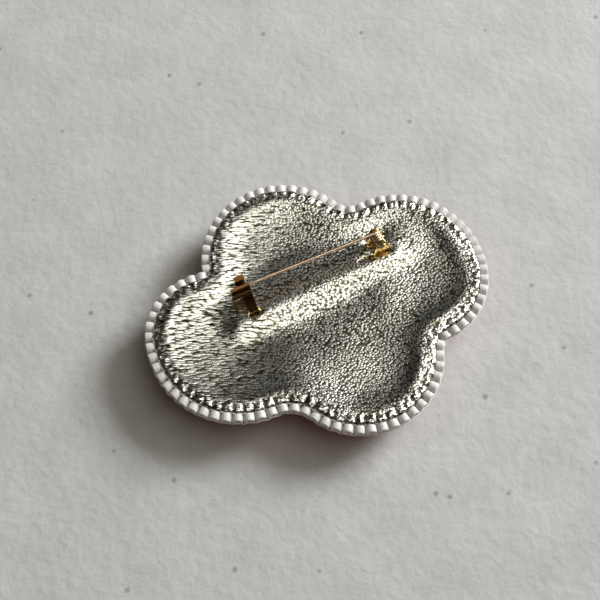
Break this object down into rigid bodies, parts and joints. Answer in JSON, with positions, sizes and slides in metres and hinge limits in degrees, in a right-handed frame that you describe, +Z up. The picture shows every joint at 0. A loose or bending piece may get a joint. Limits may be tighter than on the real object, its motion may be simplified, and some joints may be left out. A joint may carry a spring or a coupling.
{
  "type": "beaded brooch",
  "caption": "Cloud-shaped brooch with a padded seed bead front, a bead edging, a leather back and a bar pin with a turning catch.",
  "frame": {"origin": "under the middle of the outline, on the surface that the beaded front lies on", "axes": "+X along the length of the brooch, +Y across it, +Z up through the leather back and the pin"},
  "size_m": [0.0677, 0.0533, 0.0146],
  "materials": {
    "front_beads": "glossy opaque glass beads, yellow through orange and coral to pink",
    "edge_beads": "glossy opaque white glass beads",
    "leather": "metallic silver foil on pebbled grain",
    "gold_metal": "polished gold plating",
    "needle_wire": "polished pale gold wire"
  },
  "bodies": {
    "brooch": {"beaded_front": "front_beads", "edge_beads": "edge_beads", "leather_back": "leather", "pin_base": "gold_metal", "hinge_rivet": "gold_metal"},
    "needle": {"pin_needle": "needle_wire"},
    "catch": {"catch_sleeve": "gold_metal"}
  },
  "joints": [
    {"name": "needle_hinge", "type": "hinge", "parent": "brooch", "child": "needle", "pos_m": [0.01179, 0.01302, 0.01147], "axis": [-0.4496, 0.8823, -0.1392], "range_deg": [0, 95]},
    {"name": "catch_turn", "type": "hinge", "parent": "brooch", "child": "catch", "pos_m": [-0.01481, 0.00222, 0.01234], "axis": [-0.891, -0.454, 0], "range_deg": [0, 85]}
  ]
}
